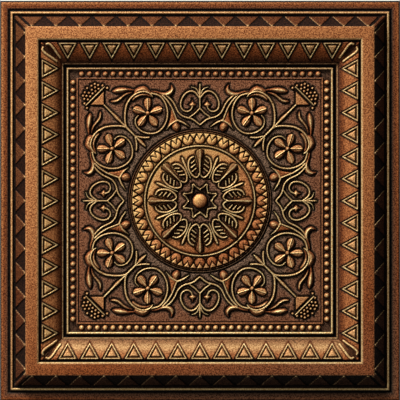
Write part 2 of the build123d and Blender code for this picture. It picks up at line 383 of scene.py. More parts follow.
def mitre_leaf(sheet):
    where = sheet.near(MITRE_RIB, REACH)
    across, out = sheet.across[where], sheet.out[where]
    away = along_line(across, out, MITRE_RIB, 1.0)[0]
    off_mitre = (out - across) / np.sqrt(2)
    bar = np.sqrt(np.clip(1 - (away / MITRE_RIB_HALF) ** 2, 0, 1))
    between = ease(out, 176, 182) * ease(-off_mitre, -5.5, -4.0) * (1 - bar) * (out < MITRE_LEAF_END)
    moat = stripe(away, 2.2, 0.9, 0)
    sheet.ground[where] += 1.3 * bar - 0.7 * np.maximum(between * ease(off_mitre, 0.3, 1.2), moat)
    sheet.soot[where] = np.maximum(sheet.soot[where] * (1 - bar), np.maximum(0.9 * between, 0.95 * moat))
    sheet.gilt[where] = np.maximum(sheet.gilt[where], 0.95 * ease(bar, 0.65, 1))


def beads(sheet):
    along, number = nearest_repeat(sheet.across, BEAD_PITCH)
    away = np.where(number <= BEAD_LAST, np.hypot(along, sheet.out - BEAD_LINE), FAR_AWAY)
    full = np.clip(1 - (away / BEAD_RADIUS) ** 2, 0, 1)
    on = full > 0
    moat = stripe(away - BEAD_RADIUS, 0.5, 1.1, 0.1)
    sheet.ground += np.where(on, CHANNEL_HEIGHT + BEAD_RISE * np.sqrt(full) - sheet.ground, -0.4 * moat)
    sheet.soot = np.where(on, 0.8 * ease(-full, -0.45, 0.0), np.maximum(sheet.soot, 0.95 * moat))
    sheet.gilt = np.where(on, 0.95 * ease(full, 0.5, 0.95), sheet.gilt)
    sheet.copper = np.where(on, 0.8, sheet.copper)


def frame_relief(sheet):
    sheet.ground, sheet.gilt, sheet.copper, sheet.soot = (
        np.interp(sheet.out, DISTANCE, column) for column in (HEIGHT, GILT, COPPER, SOOT)
    )
    for part in (teeth, double_triangles, mitre_leaf, beads):
        part(sheet)


print("beads:", 2 * BEAD_LAST + 1, "to a side,", 2 * BEAD_RADIUS, "mm across")

# %% [markdown]
# ## The medallion
# Sixteen mirrored wedges make the rosette in the middle: clubs on the eight axes, spears between them, and
# a comb leaf on each side of every club. Round it run a gold ring, thirty-two discs and sixty-four darts.
# A wedge is drawn lying along its club: the first number runs out from the centre, the second sideways.

# %% Outlines of the rosette
# distance from the centre, and half width there
CLUB = (
    (32.5, 0.8), (38, 0.9), (45, 1.4), (50, 2.2), (55, 3.7), (58, 4.5), (61, 4.6), (63.2, 3.4), (64.8, 0.3)
)
SPEAR = ((30.0, 0.7), (40, 0.9), (48, 1.4), (54, 1.7), (57, 1.3), (59.2, 0.2))
# distance from the centre, and degrees off the club
COMB_BACK = (
    (55.9, 8.0), (55.0, 11.4), (52.8, 14.4), (48.6, 17.1), (41.9, 19.1), (35.5, 17.7), (31.4, 14.0),
    (29.6, 8.8), (31.0, 3.6), (33.8, 1.6),
)
COMB_BACK_HALVES = (1.0, 1.4, 1.4, 1.3, 1.1, 1.0)
COMB_TEETH = (((48.2, 12.6), (51.4, 7.2)), ((42.9, 14.6), (46.0, 7.2)), ((37.9, 14.6), (40.9, 6.6)))
STAR_VALLEY = 14.2
STAR_LINE = ((STAR_VALLEY, 0), (18.0, 16.0), (22.0, 20.5), (22.0, 22.5))


def wedge(places):
    """Points given by distance and degrees, as points of the wedge."""
    return [(far * np.cos(np.radians(turn)), far * np.sin(np.radians(turn))) for far, turn in places]


def rosette(radius, turn):
    """Clubs, spears, comb leaves and the star's line, on a sheet that lies along the club."""
    sheet = Sheet(radius * np.cos(turn), radius * np.sin(turn))
    half_way = np.pi / 8 - turn
    for run, spread, shape, height, copper, shoulder, shade in (
        (sheet.across, sheet.out, CLUB, 3.6, 0.75, 0.05, 0.7),
        (radius * np.cos(half_way), radius * np.sin(half_way), SPEAR, 2.1, 0.9, 0.1, 0.0),
    ):
        lengths, halves = np.array(shape).T
        width = np.interp(run, lengths, halves, left=0.01, right=0.01)
        on = (run > lengths[0] - 3) & (run < lengths[-1] + 3)
        beyond = np.maximum(np.maximum(lengths[0] - run, run - lengths[-1]), 0)
        gilt = 1 - 0.15 * ease(run, 58, 63)
        sheet.bar(on, np.hypot(spread, beyond)[on], width[on], height, gilt[on], copper, shoulder, shade)
    sheet.rib(flow(wedge(COMB_BACK)), COMB_BACK_HALVES, height=2.2)
    for tooth in COMB_TEETH:
        sheet.rib(wedge(tooth), (1.1, 0.9), height=1.7)
    sheet.rib(wedge(STAR_LINE), 1.0, height=1.6)
    sheet.knob((STAR_VALLEY, 0), 1.3, 1.4)
    return sheet


print("teeth of a comb leaf:", len(COMB_TEETH))

# %% Medallion
# where the medallion's copper ground starts, is full and ends
FIELD = (34, 50, 87)
STAR_GROUND = 36
STAR_GROWTH = 7.5
BOSS = 9.2
RING = 68.6
RINGS_START = 74
DISC_ORBIT = 77.4
DISC_RADIUS = 6.4
DISC_PITCH = np.radians(11.25)
DART_PITCH = np.radians(5.625)
DART_BASE = 84.6
DART_TIP = 77.8
DART_HALF = 4.0
# distance from the centre, half width and copper
RIMS = ((86.1, 0.55, 0.55), (88.6, 0.6, 0.3))


def medallion(sheet):
    around = np.arctan2(sheet.across, sheet.out)
    radius = np.hypot(sheet.across, sheet.out)
    turn = np.minimum(around, np.pi / 4 - around)
    all_over = np.ones(radius.shape, bool)
    sheet.copper += ease(radius, *FIELD[:2]) * (radius < FIELD[2]) + 0.1 * (radius < STAR_GROUND)

    star = ease(1.0 - radius / (STAR_VALLEY + STAR_GROWTH * turn / (np.pi / 8)), 0.0, 0.12)
    sheet.ground -= 0.8 * star
    sheet.soot = np.maximum(sheet.soot, 0.85 * star)
    carved = rosette(radius, turn)
    sheet.lay(all_over, carved.rise, carved.gap, carved.gilt, carved.copper, carved.shade)

    boss = np.clip(1 - (radius / BOSS) ** 2, 0, 1)
    boss_gilt, boss_copper = 0.05 * ease(boss, 0.2, 0.9), 0.6 + 0.6 * ease(boss, 0, 0.6)
    sheet.lay(all_over, 4.4 * np.sqrt(boss), radius - BOSS, boss_gilt, boss_copper)
    ring_bar(sheet, radius, RING, 1.05, 1.7, reach=5)

    disc_turn = nearest_repeat(around, DISC_PITCH)[0]
    disc = np.hypot(radius * np.cos(disc_turn) - DISC_ORBIT, radius * np.sin(disc_turn))
    full = np.clip(1 - (disc / DISC_RADIUS) ** 2, 0, 1)
    sheet.lay(all_over, 2.0 * full**0.5, disc - DISC_RADIUS, 0.0, 0.55 + 0.65 * full**0.5)
    dart_turn = nearest_repeat(around, DART_PITCH)[0]
    dart = triangle(radius * dart_turn, radius, DART_BASE, DART_HALF, DART_TIP)
    cut = stripe(dart, -0.6, 1.05, 0.3) * (radius > RINGS_START) * (radius < DART_BASE + 1)
    sheet.rise -= 0.8 * cut * (sheet.rise > 0)
    sheet.soot = np.maximum(sheet.soot, 0.95 * cut)
    dart_gilt = 0.25 * ease(np.clip(dart / 1.3, 0, 1), 0.1, 0.8)
    sheet.lay(all_over, 2.1 * quarter_round(dart, 1.3), -dart, dart_gilt, 1.45)
    for place, half, copper in RIMS:
        ring_bar(sheet, radius, place, half, 1.0, gilt=0.12, copper=copper)


def ring_bar(sheet, radius, place, half, height, reach=REACH, **paint):
    """A round bar that runs round the centre."""
    away = np.abs(radius - place)
    on = away < reach
    sheet.bar(on, away[on], np.full(on.sum(), half), height, **paint)


print("medallion, mm:", 2 * RIMS[-1][0], "across, with", round(2 * np.pi / DISC_PITCH), "discs")

# %% [markdown]
# ## The vine
# From the foot of each thistle a vine loops round a five-petalled flower, is wrapped by a leaf, and runs on
# to a trumpet and to the palmette on the middle line. Stems are round bars that thin towards their ends,
# and the leaves are outlines with a ridge. Each is marked by points of its line or outline.

# %% Stems and leaves
STEMS = (
    # half widths from start to end, and the points of the line
    # outer half of the loop
    ((1.1, 1.4, 1.5, 1.4, 0.9), ((79.5, 79.5), (86.5, 86.8), (91.8, 92.6), (93.4, 100.0), (93.4, 108.8),
        (92.1, 117.5), (89.8, 123.1), (86.5, 128.1), (81.5, 132.6), (75.9, 135.4), (70.3, 136.5),
        (65.2, 135.4), (61.3, 132.9), (59.6, 130.4))),
    # inner half of it, curling in
    ((1.3, 1.3, 1.2, 1.2, 1.1, 0.8), ((60.5, 134.3), (54.6, 132.9), (50.1, 130.9), (46.2, 127.0),
        (43.4, 122.5), (41.5, 117.5), (40.4, 111.9), (40.4, 107.0), (41.2, 101.6), (43.3, 96.2), (46.3, 91.4),
        (50.4, 87.4), (55.2, 84.8), (60.6, 84.0), (66.0, 84.5), (71.2, 86.2), (75.8, 89.3), (79.1, 93.2),
        (80.6, 98.0), (80.1, 102.8), (76.8, 106.6))),
    # branch to the trumpet
    ((1.3, 1.2, 1.1), ((46.5, 131.3), (41.2, 125.9), (37.6, 120.7), (34.8, 115.9), (32.8, 111.1),
        (30.8, 105.9), (28.4, 99.8))),
    # branch to the palmette
    ((1.2, 1.2, 1.2, 1.1), ((42.0, 131.6), (37.2, 127.5), (34.0, 123.9), (31.2, 119.5), (29.2, 115.1),
        (26.8, 110.7), (23.2, 107.1), (18.8, 104.7), (14.0, 103.5), (10.0, 102.3), (6.0, 99.9), (2.8, 97.1),
        (0.0, 95.0))),
    # one side of the trumpet's lip
    ((1.3, 1.2, 0.5), ((28.4, 100.4), (33.9, 97.5), (37.9, 94.2), (42.0, 89.0))),
    # the other side of the lip
    ((1.5, 1.2, 0.5), ((28.4, 100.8), (21.4, 98.0), (17.6, 95.6), (13.4, 92.8))),
    # scroll of the palmette
    ((1.1, 1.3, 1.2, 1.2, 1.1, 1.0), ((0.4, 128.5), (1.6, 130.3), (3.2, 132.3), (5.2, 134.7), (8.4, 136.6),
        (11.6, 137.0), (15.2, 135.9), (18.8, 133.1), (21.6, 129.1), (23.4, 124.7), (24.0, 120.7),
        (23.4, 116.7), (21.6, 113.9), (18.4, 111.9), (15.2, 111.7), (12.4, 112.9), (10.4, 115.1),
        (9.2, 118.4))),
    # arm at the palmette's foot
    ((1.1, 1.1, 0.9), ((0.0, 115.5), (3.2, 112.3), (6.8, 108.7), (10.4, 106.3), (13.2, 104.0))),
    # side leaf of the palmette
    ((1.1, 0.5), ((1.4, 133.8), (2.8, 137.5), (5.2, 140.3), (8.4, 141.5), (10.6, 142.1))),
    # side sprig where two vines meet
    ((1.0, 1.4, 1.2), ((79.0, 80.6), (72.8, 79.3), (68.2, 79.0), (63.4, 79.3))),
    # middle sprig, on the diagonal
    ((1.3, 1.2, 2.3, 1.9, 0.4), ((81.0, 81.0), (77.6, 77.6), (74.2, 74.2), (70.8, 70.8), (67.2, 67.2))),
    # stalk of the thistle
    ((1.3, 1.3, 2.3, 1.5, 1.2, 1.2), ((92.5, 92.5), (97.9, 97.9), (103.3, 103.3), (108.7, 108.7),
        (114.1, 114.1), (119.6, 119.6))),
    # rim of the thistle's cup
    ((1.1, 1.1, 1.0), ((130.8, 130.8), (119.4, 142.2))),
    # stalk of the palmette
    ((1.1, 1.2, 1.1), ((0.0, 115.4), (0.0, 129.4))),
    # middle leaf of the palmette
    ((1.3, 1.9, 1.4, 1.2, 0.5), ((0.0, 129.0), (0.0, 133.0), (0.0, 138.0), (0.0, 142.0), (0.0, 146.2))),
)
# the vine again, over the wrapping leaf
WRAPPED = ((89.8, 123.1), (86.5, 128.1), (81.5, 132.6), (75.9, 135.4), (70.3, 136.5), (65.2, 135.4),
    (61.3, 132.9), (58.9, 129.8))
LEAVES = (
    # how much gold was rubbed on, and the outline
    # wrapping leaf, over the vine
    (0.3, ((82.3, 137.3), (79.2, 141.0), (74.7, 142.9), (70.3, 143.5), (66.3, 141.8), (63.0, 138.5),
        (60.2, 134.3), (58.6, 130.2), (62.4, 131.9), (66.9, 134.2), (72.5, 135.0), (78.1, 133.4),
        (81.5, 133.0))),
    # lower lobe of the wrapping leaf
    (0.55, ((58.8, 130.2), (62.4, 129.8), (66.9, 131.2), (72.5, 130.7), (78.1, 128.4), (83.8, 124.9),
        (84.6, 127.6), (80.0, 132.0), (73.0, 134.2), (66.0, 133.6))),
    # big leaf
    (0.7, ((109.7, 137.1), (104.4, 140.7), (98.8, 141.8), (91.5, 141.3), (84.8, 139.9), (80.0, 138.2),
        (85.9, 137.3), (90.4, 137.0), (96.0, 135.1), (101.6, 134.3), (106.6, 134.6))),
    # leaf with a double curve
    (1.0, ((112.0, 124.2), (109.4, 125.5), (104.4, 126.6), (99.9, 129.6), (94.9, 133.3), (90.4, 135.3),
        (84.0, 136.0), (85.9, 134.3), (90.4, 132.4), (94.9, 129.4), (98.8, 125.7), (102.7, 123.2),
        (107.2, 122.4), (110.5, 123.0))),
    # hooked leaf
    (0.8, ((60.8, 137.6), (55.2, 137.6), (50.1, 136.2), (44.5, 135.6), (40.0, 136.9), (37.0, 139.5),
        (36.3, 142.7), (36.1, 145.6), (33.0, 142.1), (31.9, 138.2), (33.6, 134.0), (37.3, 131.1),
        (42.3, 130.1), (46.8, 130.7), (50.1, 132.6), (54.6, 134.6), (60.0, 135.9))),
    # bud in the trumpet
    (0.25, ((29.4, 99.4), (33.2, 96.8), (35.0, 92.9), (33.2, 88.8), (28.4, 86.6), (25.0, 89.4),
        (25.0, 94.6))),
)

# %% Flower, trumpet and thistle
TRUMPET = ((35.4, 114.6), (33.6, 110.6), (31.2, 104.6), (29.6, 99.8), (33.9, 97.0), (37.7, 94.0),
    (41.0, 90.4), (38.9, 97.0), (36.8, 105.0), (36.2, 111.0))
FLOWER = (65.1, 109.4)
PETAL_PITCH = np.radians(72)
# distance from the flower's middle, and half width there
PETAL = ((3.4, 0.8), (6, 2.4), (9, 4.1), (12, 4.9), (15, 4.8), (17.0, 4.0), (18.4, 2.5), (19.1, 0.2))
# the bud at the end of the palmette's scroll
KNOB = ((9.2, 116.6), (11.6, 118.2), (14.0, 119.8), (12.0, 121.8), (10.2, 123.4), (9.2, 127.2), (8.2, 123.4),
    (6.4, 121.8), (4.4, 119.8), (6.8, 118.2))
BERRIES = ((121.4, 143.9), (127.0, 144.4), (126.4, 139.8), (130.8, 141.4), (130.2, 136.8), (133.8, 133.8),
    (135.2, 143.6), (134.8, 138.4), (140.6, 140.6), (131.2, 145.8), (115.7, 140.8))
# radius and height
BERRY = (1.75, 2.4)
CUP_SIDE = 119.7
CUP_BASE = 256.6


def petals(sheet):
    where = sheet.near([FLOWER], 23)
    x, y = sheet.across[where] - FLOWER[0], sheet.out[where] - FLOWER[1]
    turn = nearest_repeat(np.arctan2(x, y), PETAL_PITCH)[0]
    length = np.hypot(x, y)
    run, aside = length * np.cos(turn), np.abs(length * np.sin(turn))
    lengths, halves = np.array(PETAL).T
    width = np.interp(run, lengths, halves, left=0.01, right=0.01)
    beyond = np.maximum(run - lengths[-1], 0)
    full = np.clip(1 - (aside / width) ** 2, 0, 1)
    vein = np.exp(-((aside / 0.45) ** 2)) * (full > 0.2)
    furrow = np.exp(-(((aside - 1.3) / 0.6) ** 2)) * (full > 0.2)
    rise = 2.9 * full**0.6 + 0.4 * vein - 0.4 * furrow
    gap = np.hypot(aside - width, beyond) * np.sign(aside - width + 1e-9)
    gilt = np.clip(0.38 * ease(full, 0.3, 0.9) + 0.5 * vein - 0.35 * furrow, 0, 1)
    sheet.lay(where, rise, gap, gilt, 0.5 + 0.4 * full)
    sheet.knob(FLOWER, 2.9, 3.1)


def plate(sheet, inside, rise, gilt, copper):
    """A raised flat shape, from the distance inside its outline."""
    near = inside > -5
    sheet.lay(near, rise[near], -inside[near], gilt[near], copper)


def scrollwork(sheet):
    for halves, points in STEMS:
        line = flow(points) if len(points) > 2 else np.array(points)
        sheet.rib(line, halves)
    trumpet = within(sheet.across, sheet.out, flow(TRUMPET, closed=True))
    plate(sheet, trumpet, 1.2 * np.sqrt(np.clip(trumpet / 2.0, 0, 1)), 0 * trumpet, 0.7)
    for gilt, points in LEAVES:
        sheet.leaf(flow(points, closed=True), gilt, 0.8)
    sheet.rib(flow(WRAPPED), (0.9, 1.2, 1.2, 0.6), height=2.75)
    sheet.leaf(np.array(KNOB), 0.45, 1.0, height=2.4, slope=2.4)
    petals(sheet)
    cup = np.minimum(sheet.across - CUP_SIDE, (CUP_BASE - sheet.across - sheet.out) / np.sqrt(2))
    plate(sheet, cup, 1.9 * quarter_round(cup, 1.0), 0.08 * np.clip(cup, 0, 1), 1.05)
    for centre in BERRIES:
        sheet.knob(centre, *BERRY)


print("stems:", len(STEMS), "leaves:", len(LEAVES), "berries:", len(BERRIES))

# %% [markdown]
# ## The whole face
# The panel's ground is grey near the medallion and close to the ornaments, and browner where it lies open
# or near the beads, because there the rubbing cloth reached it. The moat round every ornament is cut last,
# from the distance to whatever is nearest.

# %% Whole face
PANEL = 150.4
COPPER_FULL = 1.5
MOAT_WIDTH = 2.1
MOAT_DEPTH = 1.3
EDGE_WIDTH = 0.95
LOW_ORNAMENT = 1.6
RAISED = 0.02
# open ground: its distance from the ornaments, and from the middle of the tile
OPEN_GAP = (1.6, 4.0)
OPEN_FROM = (98, 118)


def panel_relief(sheet):
    sheet.copper = 0.02 + 0.07 * ease(sheet.out, 124, 150) * (1 - 0.5 * ease(sheet.across, 100, 150))
    medallion(sheet)
    scrollwork(sheet)
    outside = np.maximum(sheet.gap, 0)
    flat = sheet.rise <= RAISED
    moat = np.exp(-((outside / MOAT_WIDTH) ** 3)) * flat
    sheet.ground -= MOAT_DEPTH * moat
    open_ground = ease(outside, *OPEN_GAP) * ease(sheet.out, *OPEN_FROM) * flat
    sheet.copper += 0.2 * open_ground
    sheet.soot = np.maximum(sheet.soot, moat)
    edge = np.clip(1 + np.minimum(sheet.gap, 0) / EDGE_WIDTH, 0, 1)
    kept = np.maximum(np.maximum(sheet.soot * (sheet.rise < LOW_ORNAMENT), sheet.shade), 0.88 * edge)
    sheet.soot = np.where(flat, sheet.soot, kept)


def face(x, y):
    """Height, gilt, copper and soot of the tile's face at each point."""
    across, out = (side.ravel() for side in fold(x, y))
    result = np.zeros((4, across.size))
    for here, part in ((out < PANEL, panel_relief), (out >= PANEL, frame_relief)):
        if here.any():
            sheet = Sheet(across[here], out[here])
            part(sheet)
            height = np.minimum(sheet.ground + sheet.rise, CROWN)
            result[:, here] = height, sheet.gilt, sheet.copper, sheet.soot
    result[1:] = np.clip(result[1:], 0, np.array([1, COPPER_FULL, 1])[:, None])
    return result.reshape((4,) + x.shape)


sample = face(np.array([0.0, 210.0, HALF]), np.zeros(3))[0]
print("heights of the boss, the band and the outer edge, mm:", sample.round(2))

# %% [markdown]
# ## The paint, side by side, with painted light
# The copper's share is painted lighter at the upper left and darker towards the lower right: a painted light
# falloff.
# What leans towards the upper left gets more of it, and of the gold, as a painted highlight, and what leans
# away gets black as painted shade. Each fillet, slope and row of beads is painted lighter or darker on each
# side as painted light and shade, and the inward slope of the near side gets gold at its foot as a painted
# highlight.

# %% Paint of each block, with painted light and shade
MM = 0.001
# painted light falloff: the copper's share is painted lighter at the upper left and darker towards the lower
# right
LightFalloff = namedtuple("LightFalloff", "reach middle loss_right gain_up loss_ends")
PANEL_LIGHT_FALLOFF = LightFalloff(85 * MM, 0.97, 0.22, 0.38, 0.0)
SIDE_LIGHT_FALLOFF = LightFalloff(HALF * MM, 0.78, 0.13, 0.27, 0.22)
# beyond the medallion the painted light falloff gives way to an even share
SCROLL_SHARE = 0.88
MEDALLION_EDGE = (86 * MM, 96 * MM)
ALL_ALONG = (-300, -299)
# painted light and shade of each side of the frame
SideLight = namedtuple("SideLight", "slope foot inner outer black beads rims lips lean reach")
SIDE_PAINTED_LIGHT = {
    # painted light of each side: copper on the inward slope, gold at its foot as a painted highlight, gold on
    # the inner fillets, gold on the outer one, black on the outward slope as painted shade, copper on the
    # beads, gold on the double triangles; and on the raised triangles: gold on the lips as a painted
    # highlight, the way that the lit lips lean, and where along the side that gold starts and is full
    "side_right": SideLight(0.86, 0.0, 0.8, 0.7, 0.7, 0.9, 1.0, 2.2, (-1, 1), ALL_ALONG),
    "side_far": SideLight(0.62, 0.0, 0.42, 0.4, 0.35, 0.56, 1.25, 1.2, (-1, -1), (-60, 150)),
    "side_left": SideLight(1.08, 0.0, 0.7, 0.3, 0.42, 0.7, 1.1, 0.9, (1, 1), (-100, 120)),
    "side_near": SideLight(0.86, 0.42, 0.9, 0.9, 0.85, 1.0, 0.95, 0.8, (-1, 1), ALL_ALONG),
}
SLOPE = (172.6, 198.0)
SLOPE_FOOT = (180.0, 193.0)
OUTWARD_SLOPE = (217.4, 231.0)
OUTWARD_MIDDLE = 225
TIPS_END = 219.4
# painted highlight on faces leaning to the upper left, and painted shade on faces leaning away
PAINTED_LEAN_LIGHT = 0.6
PAINTED_LEAN_SHADE = 0.6
# gold painted fainter where the painted light falloff is lightest, and fuller where it is darkest
GOLD_MOST = 1.4
GOLD_LESS = 0.46
# black of the far side's outward slope, from which the painted shade of the other sides is counted
LEAST_BLACK = 0.35


def painted_falloff(x, y, falloff):
    """Painted light falloff: the copper's share, lighter at the upper left, falling to the lower right as far
    as the reach.
    """
    away = np.maximum(np.hypot(x, y), falloff.reach)
    right, up = x / away, y / away
    return falloff.middle - falloff.loss_right * right + falloff.gain_up * up - falloff.loss_ends * up**2


def side_painted_light(got, out, x, y, normal, painted_lean_light, gilt, soot):
    """Painted light of one side of the frame: share of the copper, gilt and soot, by how the light falls
    there.
    """
    inner = out < SLOPE[0]
    on_slope = (out > SLOPE[0]) & (out < SLOPE[1])
    outward = (out > OUTWARD_SLOPE[0]) & (out < OUTWARD_SLOPE[1])
    # copper of the inward slope and of the beads is painted lighter or darker on each side by how the light
    # falls
    share = np.where(on_slope, got.slope, painted_falloff(x, y, SIDE_LIGHT_FALLOFF))
    share = np.where(inner, got.beads * painted_lean_light, share)
    # gold at the foot of the near side's inward slope is a painted highlight
    foot = on_slope * ease(-out, -SLOPE_FOOT[1], -SLOPE_FOOT[0]) * got.foot
    gilt = gilt * np.where(inner, got.inner, np.where(out > OUTWARD_SLOPE[1], got.outer, 1.0))
    gilt = np.where(on_slope, np.clip(gilt * got.rims, 0, 1), gilt)
    gilt = np.maximum(gilt, foot * (1 - soot))
    # gold on the raised triangles' lips that lean towards the light is a painted highlight
    leans = (normal[..., 0] * got.lean[0] + normal[..., 1] * got.lean[1]) / np.sqrt(2)
    # 0 in the middle of the far and left sides, growing to the right and towards the near side
    onwards = (x - y) / MM + OUTWARD_MIDDLE
    lips = got.lips * ease(leans, 0.1, 0.5) * ease(onwards, *got.reach)
    lips = np.where(out < TIPS_END, 1.0, lips)
    gilt = np.where(outward, np.clip(gilt * lips, 0, 1), gilt)
    soot = np.where(outward, soot * (1 - np.clip(2.2 * gilt, 0, 0.9)), soot)
    # painted shade: the outward slope is blacker on the sides that turn from the light
    painted_shade = soot + (1 - soot) * (got.black - LEAST_BLACK) * (1 - gilt)
    return share, gilt, np.where(outward, painted_shade, soot * (1 - foot))


def coat(name, out, points, normal, gilt, copper, soot):
    """The paint of one block with its painted light and shade; `out` is 0 all over a quarter of the panel."""
    x, y = points[..., 0], points[..., 1]
    # how far each face leans towards the upper left, where the lamp is: it sets the painted highlight and
    # painted shade
    facing = (normal[..., 1] - normal[..., 0]) / np.sqrt(2)
    painted_lean_light = 1 + PAINTED_LEAN_LIGHT * facing
    inner = out < SLOPE[0]
    # the share of the copper is the painted light falloff
    share = painted_falloff(x, y, PANEL_LIGHT_FALLOFF)
    # gold inside the inward slope: a painted highlight on faces leaning to the upper left, fainter where the
    # painted light falloff is lightest
    gilt = np.clip(gilt * np.where(inner, painted_lean_light * (GOLD_MOST - GOLD_LESS * share), 1.0), 0, 1)
    beyond = ease(np.hypot(x, y), *MEDALLION_EDGE)
    share = (share + (SCROLL_SHARE - share) * beyond) * painted_lean_light
    # painted shade: black on faces leaning away from the upper left
    shadow = ease(-facing, 0.25, 0.85) * (1 - gilt)
    soot = np.where(inner, soot + (1 - soot) * PAINTED_LEAN_SHADE * shadow, soot)
    # each side of the frame gets its own painted light and shade
    if name in SIDE_PAINTED_LIGHT:
        share, gilt, soot = side_painted_light(SIDE_PAINTED_LIGHT[name], out, x, y, normal, painted_lean_light, gilt, soot)
    return gilt, np.clip(copper * share, 0, COPPER_FULL), np.clip(soot, 0, 1)


# the painted light falloff at the medallion's top and bottom
falloff_shares = painted_falloff(0.0, np.array([1, -1]) * PANEL_LIGHT_FALLOFF.reach, PANEL_LIGHT_FALLOFF)
print("share of the copper at the medallion's top and bottom:", falloff_shares.round(2))

# %% [markdown]
# ## From heights to blocks
# The tile is built as eight closed blocks that meet without a gap: four quarters of the panel and four
# sides of the frame, sawn at the mitres. That keeps each mesh handy. The way the face leans is worked out
# from the heights a little to each side of every point, so that the shading runs on unbroken from block to
# block.

# %% Net and lean
LEAN_STEP = 0.25


def plan_lines(stops, spacing):
    """Lines through all the stops, and between them no further apart than the spacing."""
    lines = [stops[0]]
    for start, end in zip(stops, stops[1:]):
        count = max(1, int(np.ceil(abs(end - start) / spacing)))
        lines.extend(np.linspace(start, end, count + 1)[1:])
    return np.array(lines)


def relief(x, y):
    """The face at each point, and the way that it leans there."""
    lean = []
    for step_x, step_y in ((LEAN_STEP, 0), (0, LEAN_STEP)):
        rise = face(x + step_x, y + step_y)[0] - face(x - step_x, y - step_y)[0]
        lean.append(-rise / (2 * LEAN_STEP))
    length = np.sqrt(lean[0] ** 2 + lean[1] ** 2 + 1)
    return face(x, y), np.stack([lean[0] / length, lean[1] / length, 1 / length], -1)


middle_line = np.arange(0, HALF, 0.5)
steepest = relief(middle_line, 0 * middle_line)[1][:, 2].min()
print("steepest place on the middle line, degrees:", np.degrees(np.arccos(steepest)).round(1))

# %% Block and its flat map
# paint at the foot of the walls
BARE = {"gilt": 0.0, "copper": 0.1, "soot": 0.9}
MARGIN = 0.005
FACE_TOP = 0.9
BACK_TOP = 0.94
FOAM_SLOT = 1


def net(rows, columns):
    """The four corners of every square of the face, and the points along its four edges."""
    index = np.arange(rows * columns).reshape(rows, columns)
    top = np.stack([index[:-1, :-1], index[1:, :-1], index[1:, 1:], index[:-1, 1:]], -1).reshape(-1, 4)
    return top, (index[:, 0], index[-1, :], index[::-1, -1], index[0, ::-1])


def put(name, data):
    """A new object in the scene."""
    made = bpy.data.objects.new(name, data)
    bpy.context.scene.collection.objects.link(made)
    return made


def block(name, x, y, surface, turn, materials):
    """A closed block under the face, turned by so many quarter turns about the middle."""
    (height, gilt, copper, soot), lean = surface
    cos, sin = ((1, 0), (0, 1), (-1, 0), (0, -1))[turn]
    spin = np.array([[cos, sin, 0], [-sin, cos, 0], [0, 0, 1]])
    points = np.stack([x, y, height], -1) @ spin * MM
    normal = lean @ spin
    values = coat(name, x if name in SIDE_PAINTED_LIGHT else 0 * x, points, normal, gilt, copper, soot)
    top, sides = net(*x.shape)
    points = points.reshape(-1, 3)
    rim = np.concatenate([side[:-1] for side in sides])
    foot = len(points) + np.arange(len(rim))
    wall = np.stack([np.roll(rim, -1), rim, foot, np.roll(foot, -1)], -1)
    faces = top.tolist() + wall.tolist() + [foot[::-1].tolist()]
    mesh = bpy.data.meshes.new(name)
    mesh.from_pydata(np.vstack([points, points[rim] * [1, 1, 0]]).tolist(), [], faces)
    for (label, bare), value in zip(BARE.items(), values):
        layer = mesh.attributes.new(label, "FLOAT", "POINT")
        value = np.concatenate([value.ravel(), np.full(len(rim), bare)])
        layer.data.foreach_set("value", value.astype(np.float32))
    for material in materials:
        mesh.materials.append(material)
    mesh.polygons[len(mesh.polygons) - 1].material_index = FOAM_SLOT
    mesh.shade_smooth()
    corners = [normal.reshape(-1, 3)[top.ravel()]]
    for side in sides:
        run = points[side[-1]] - points[side[0]]
        outwards = np.array([run[1], -run[0], 0]) / np.hypot(run[0], run[1])
        corners.append(np.tile(outwards, (4 * (len(side) - 1), 1)))
    corners.append(np.tile([0.0, 0.0, -1.0], (len(rim), 1)))
    mesh.normals_split_custom_set(np.vstack(corners))
    lay_out(mesh, *x.shape)
    piece = put(name, mesh)
    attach(piece, "root")
    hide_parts("ceiling_tile")
    return piece


def lay_out(mesh, rows, columns):
    """A flat map for baking: the face from above, then the back squeezed flat, then the walls."""
    top, sides = net(rows, columns)
    a = np.linspace(MARGIN, 1 - MARGIN, rows)
    b = np.linspace(MARGIN, FACE_TOP, columns)
    place = np.stack(np.meshgrid(a, b, indexing="ij"), -1).reshape(-1, 2)
    spots = [place[top.ravel()]]
    room = (1 - MARGIN - BACK_TOP) / 4
    for number, side in enumerate(sides):
        along = np.linspace(MARGIN, 1 - MARGIN, len(side))
        high, low = BACK_TOP + room * (number + 0.9), BACK_TOP + room * (number + 0.15)
        across = np.stack([along[1:], along[:-1], along[:-1], along[1:]], -1).ravel()
        spots.append(np.stack([across, np.tile([high, high, low, low], len(side) - 1)], -1))
    rim = np.concatenate([side[:-1] for side in sides])
    squeeze = (BACK_TOP - FACE_TOP - 0.01) / FACE_TOP
    spots.append(place[rim][::-1] * [1, squeeze] + [0, FACE_TOP + MARGIN])
    layer = mesh.uv_layers.new(name="OFBake")
    layer.data.foreach_set("uv", np.vstack(spots).astype(np.float32).ravel())


print("flat map, face to:", FACE_TOP)

# %% [markdown]
# ## Shader sums as expressions
# A painted finish is easier to read as arithmetic than as a web of nodes. `Wire` wraps the output of a
# node, and adding or multiplying wires adds the Math nodes. `Bench.node` makes any other node.


# %% Shader helpers
class Wire:
    def __init__(self, bench, socket):
        self.bench = bench
        self.socket = socket

    def sum(self, operation, first, second):
        return self.bench.node("ShaderNodeMath", {"operation": operation}, {0: first, 1: second})

    def __add__(self, other):
        return self.sum("ADD", self, other)

    def __radd__(self, other):
        return self.sum("ADD", other, self)

    def __sub__(self, other):
        return self.sum("SUBTRACT", self, other)

    def __rsub__(self, other):
        return self.sum("SUBTRACT", other, self)

    def __mul__(self, other):
        return self.sum("MULTIPLY", self, other)

    def __rmul__(self, other):
        return self.sum("MULTIPLY", other, self)


